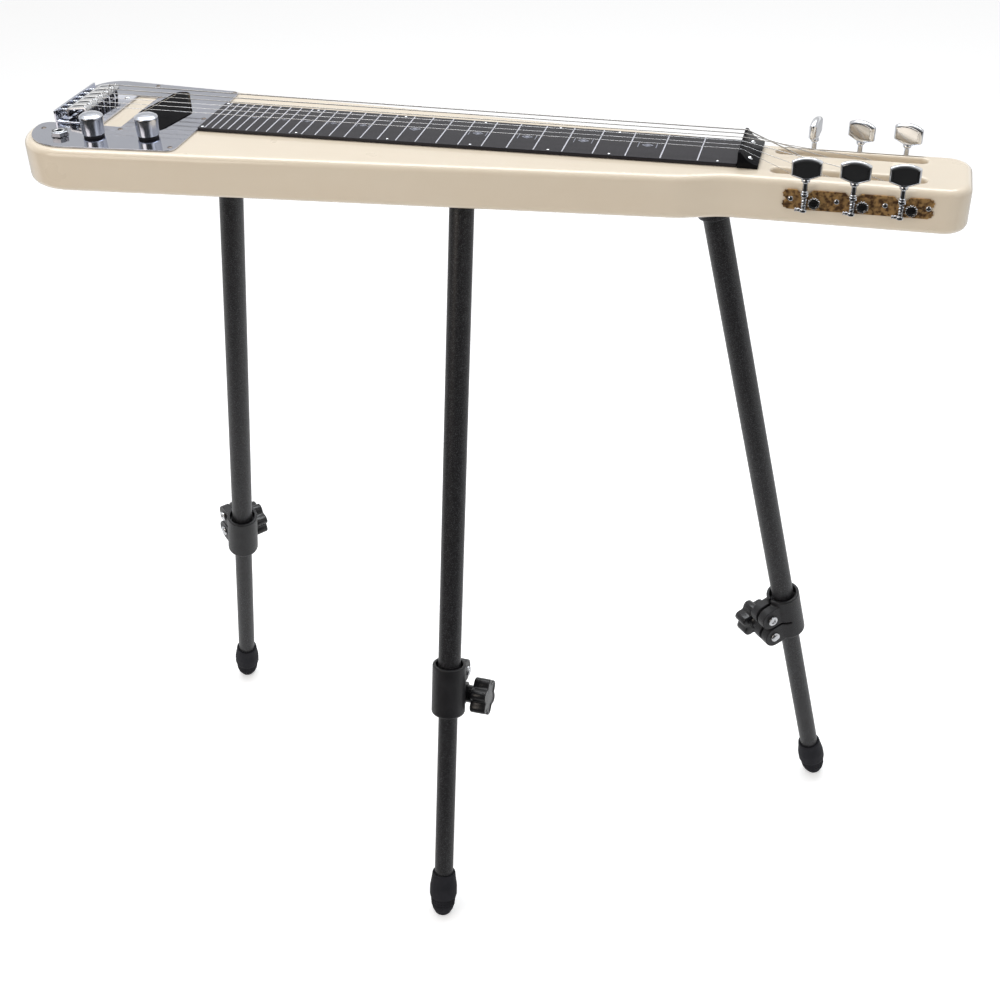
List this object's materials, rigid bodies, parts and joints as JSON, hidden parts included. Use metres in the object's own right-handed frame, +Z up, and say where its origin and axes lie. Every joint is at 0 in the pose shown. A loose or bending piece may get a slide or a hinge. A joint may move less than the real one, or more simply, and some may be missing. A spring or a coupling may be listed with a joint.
{
  "type": "lap steel guitar",
  "caption": "Cream lap steel guitar with a slotted headstock, a mirror control plate and splayed telescopic legs with star clamp knobs.",
  "frame": {"origin": "on the floor, under the centre of the whole instrument's box", "axes": "+X along the strings from the bridge to the headstock, +Y across the strings away from the player's jack side, +Z up"},
  "size_m": [0.7986, 0.33, 0.7932],
  "materials": {
    "cream_lacquer": "glossy cream lacquer over wood",
    "board_black": "satin near-black board with pale fret lines",
    "nut_black": "gloss black moulding",
    "mirror_steel": "mirror-polished sheet, slightly blue",
    "bright_chrome": "bright chrome plating",
    "pickup_black": "gloss black cover",
    "zinc_steel": "bright zinc-plated steel",
    "tuner_brass": "aged polished brass",
    "string_steel": "plain and wound steel wire",
    "socket_black": "black powder coat",
    "tube_black": "textured black powder coat on steel tube",
    "foot_rubber": "moulded black rubber",
    "collar_black": "moulded black nylon"
  },
  "bodies": {
    "instrument": {"body": "cream_lacquer", "fretboard": "board_black", "nut": "nut_black", "control_plate": "mirror_steel", "bridge_plate": "bright_chrome", "pickup": "pickup_black", "tone_pot": "zinc_steel", "volume_pot": "zinc_steel", "output_jack": "zinc_steel", "jack_nut": "bright_chrome", "tuner_plate_near": "tuner_brass", "tuner_plate_far": "tuner_brass", "string_1": "string_steel", "string_2": "string_steel", "string_3": "string_steel", "string_4": "string_steel", "string_5": "string_steel", "string_6": "string_steel", "butt_leg_socket": "socket_black", "butt_upper_tube": "tube_black", "butt_collar": "collar_black", "butt_band_bolt": "zinc_steel", "middle_leg_socket": "socket_black", "middle_upper_tube": "tube_black", "middle_collar": "collar_black", "middle_band_bolt": "zinc_steel", "head_leg_socket": "socket_black", "head_upper_tube": "tube_black", "head_collar": "collar_black", "head_band_bolt": "zinc_steel"},
    "tone_knob": {"tone_knob": "bright_chrome"},
    "volume_knob": {"volume_knob": "bright_chrome"},
    "saddle_1": {"saddle_1": "bright_chrome"},
    "saddle_2": {"saddle_2": "bright_chrome"},
    "saddle_3": {"saddle_3": "bright_chrome"},
    "saddle_4": {"saddle_4": "bright_chrome"},
    "saddle_5": {"saddle_5": "bright_chrome"},
    "saddle_6": {"saddle_6": "bright_chrome"},
    "near_tuner_1": {"tuner_button_near_1": "bright_chrome"},
    "near_post_1": {"string_post_near_1": "bright_chrome"},
    "near_tuner_2": {"tuner_button_near_2": "bright_chrome"},
    "near_post_2": {"string_post_near_2": "bright_chrome"},
    "near_tuner_3": {"tuner_button_near_3": "bright_chrome"},
    "near_post_3": {"string_post_near_3": "bright_chrome"},
    "far_tuner_1": {"tuner_button_far_1": "bright_chrome"},
    "far_post_1": {"string_post_far_1": "bright_chrome"},
    "far_tuner_2": {"tuner_button_far_2": "bright_chrome"},
    "far_post_2": {"string_post_far_2": "bright_chrome"},
    "far_tuner_3": {"tuner_button_far_3": "bright_chrome"},
    "far_post_3": {"string_post_far_3": "bright_chrome"},
    "butt_lower_leg": {"butt_lower_tube": "tube_black", "butt_foot": "foot_rubber"},
    "butt_clamp_knob": {"butt_clamp_knob": "collar_black"},
    "middle_lower_leg": {"middle_lower_tube": "tube_black", "middle_foot": "foot_rubber"},
    "middle_clamp_knob": {"middle_clamp_knob": "collar_black"},
    "head_lower_leg": {"head_lower_tube": "tube_black", "head_foot": "foot_rubber"},
    "head_clamp_knob": {"head_clamp_knob": "collar_black"}
  },
  "joints": [
    {"name": "tone_knob_turn", "type": "hinge", "parent": "instrument", "child": "tone_knob", "pos_m": [-0.33085, -0.02822, 0.781], "axis": [0, 0, 1], "range_deg": [-150, 150]},
    {"name": "volume_knob_turn", "type": "hinge", "parent": "instrument", "child": "volume_knob", "pos_m": [-0.28245, -0.02222, 0.781], "axis": [0, 0, 1], "range_deg": [-150, 150]},
    {"name": "saddle_1_slide", "type": "slide", "parent": "instrument", "child": "saddle_1", "axis": [1, 0, 0], "range_m": [-0.001, 0.002]},
    {"name": "saddle_2_slide", "type": "slide", "parent": "instrument", "child": "saddle_2", "axis": [1, 0, 0], "range_m": [-0.001, 0.002]},
    {"name": "saddle_3_slide", "type": "slide", "parent": "instrument", "child": "saddle_3", "axis": [1, 0, 0], "range_m": [-0.001, 0.002]},
    {"name": "saddle_4_slide", "type": "slide", "parent": "instrument", "child": "saddle_4", "axis": [1, 0, 0], "range_m": [-0.001, 0.002]},
    {"name": "saddle_5_slide", "type": "slide", "parent": "instrument", "child": "saddle_5", "axis": [1, 0, 0], "range_m": [-0.001, 0.002]},
    {"name": "saddle_6_slide", "type": "slide", "parent": "instrument", "child": "saddle_6", "axis": [1, 0, 0], "range_m": [-0.001, 0.002]},
    {"name": "near_tuner_1_turn", "type": "hinge", "parent": "instrument", "child": "near_tuner_1", "pos_m": [0.27285, -0.01662, 0.7562], "axis": [0, 0, 1], "continuous": true},
    {"name": "near_post_1_turn", "type": "hinge", "parent": "instrument", "child": "near_post_1", "pos_m": [0.28065, -0.01662, 0.7562], "axis": [0, 1, 0], "continuous": true},
    {"name": "near_tuner_2_turn", "type": "hinge", "parent": "instrument", "child": "near_tuner_2", "pos_m": [0.30995, -0.01662, 0.7562], "axis": [0, 0, 1], "continuous": true},
    {"name": "near_post_2_turn", "type": "hinge", "parent": "instrument", "child": "near_post_2", "pos_m": [0.31775, -0.01662, 0.7562], "axis": [0, 1, 0], "continuous": true},
    {"name": "near_tuner_3_turn", "type": "hinge", "parent": "instrument", "child": "near_tuner_3", "pos_m": [0.34705, -0.01662, 0.7562], "axis": [0, 0, 1], "continuous": true},
    {"name": "near_post_3_turn", "type": "hinge", "parent": "instrument", "child": "near_post_3", "pos_m": [0.35485, -0.01662, 0.7562], "axis": [0, 1, 0], "continuous": true},
    {"name": "far_tuner_1_turn", "type": "hinge", "parent": "instrument", "child": "far_tuner_1", "pos_m": [0.27285, 0.07078, 0.7562], "axis": [0, 0, 1], "continuous": true},
    {"name": "far_post_1_turn", "type": "hinge", "parent": "instrument", "child": "far_post_1", "pos_m": [0.28065, 0.07078, 0.7562], "axis": [0, 1, 0], "continuous": true},
    {"name": "far_tuner_2_turn", "type": "hinge", "parent": "instrument", "child": "far_tuner_2", "pos_m": [0.30995, 0.07078, 0.7562], "axis": [0, 0, 1], "continuous": true},
    {"name": "far_post_2_turn", "type": "hinge", "parent": "instrument", "child": "far_post_2", "pos_m": [0.31775, 0.07078, 0.7562], "axis": [0, 1, 0], "continuous": true},
    {"name": "far_tuner_3_turn", "type": "hinge", "parent": "instrument", "child": "far_tuner_3", "pos_m": [0.34705, 0.07078, 0.7562], "axis": [0, 0, 1], "continuous": true},
    {"name": "far_post_3_turn", "type": "hinge", "parent": "instrument", "child": "far_post_3", "pos_m": [0.35485, 0.07078, 0.7562], "axis": [0, 1, 0], "continuous": true},
    {"name": "butt_leg_slide", "type": "slide", "parent": "instrument", "child": "butt_lower_leg", "axis": [-0.174, 0.1681, -0.9703], "range_m": [-0.17, 0.13]},
    {"name": "butt_clamp_turn", "type": "hinge", "parent": "instrument", "child": "butt_clamp_knob", "pos_m": [-0.33955, 0.12707, 0.24676], "axis": [0.6443, 0.7646, 0.0169], "range_deg": [0, 540]},
    {"name": "middle_leg_slide", "type": "slide", "parent": "instrument", "child": "middle_lower_leg", "axis": [0, -0.2419, -0.9703], "range_m": [-0.17, 0.13]},
    {"name": "middle_clamp_turn", "type": "hinge", "parent": "instrument", "child": "middle_clamp_knob", "pos_m": [-0.01712, -0.07304, 0.23541], "axis": [0.9986, -0.0508, 0.0127], "range_deg": [0, 540]},
    {"name": "head_leg_slide", "type": "slide", "parent": "instrument", "child": "head_lower_leg", "axis": [0.1893, 0.1506, -0.9703], "range_m": [-0.17, 0.13]},
    {"name": "head_clamp_turn", "type": "hinge", "parent": "instrument", "child": "head_clamp_knob", "pos_m": [0.27621, 0.08829, 0.23542], "axis": [-0.6677, 0.7443, -0.0148], "range_deg": [0, 540]}
  ],
  "couplings": [
    {"joint": "near_post_1_turn", "follows": "near_tuner_1_turn", "ratio": -0.071429},
    {"joint": "near_post_2_turn", "follows": "near_tuner_2_turn", "ratio": -0.071429},
    {"joint": "near_post_3_turn", "follows": "near_tuner_3_turn", "ratio": -0.071429},
    {"joint": "far_post_1_turn", "follows": "far_tuner_1_turn", "ratio": -0.071429},
    {"joint": "far_post_2_turn", "follows": "far_tuner_2_turn", "ratio": -0.071429},
    {"joint": "far_post_3_turn", "follows": "far_tuner_3_turn", "ratio": -0.071429}
  ]
}
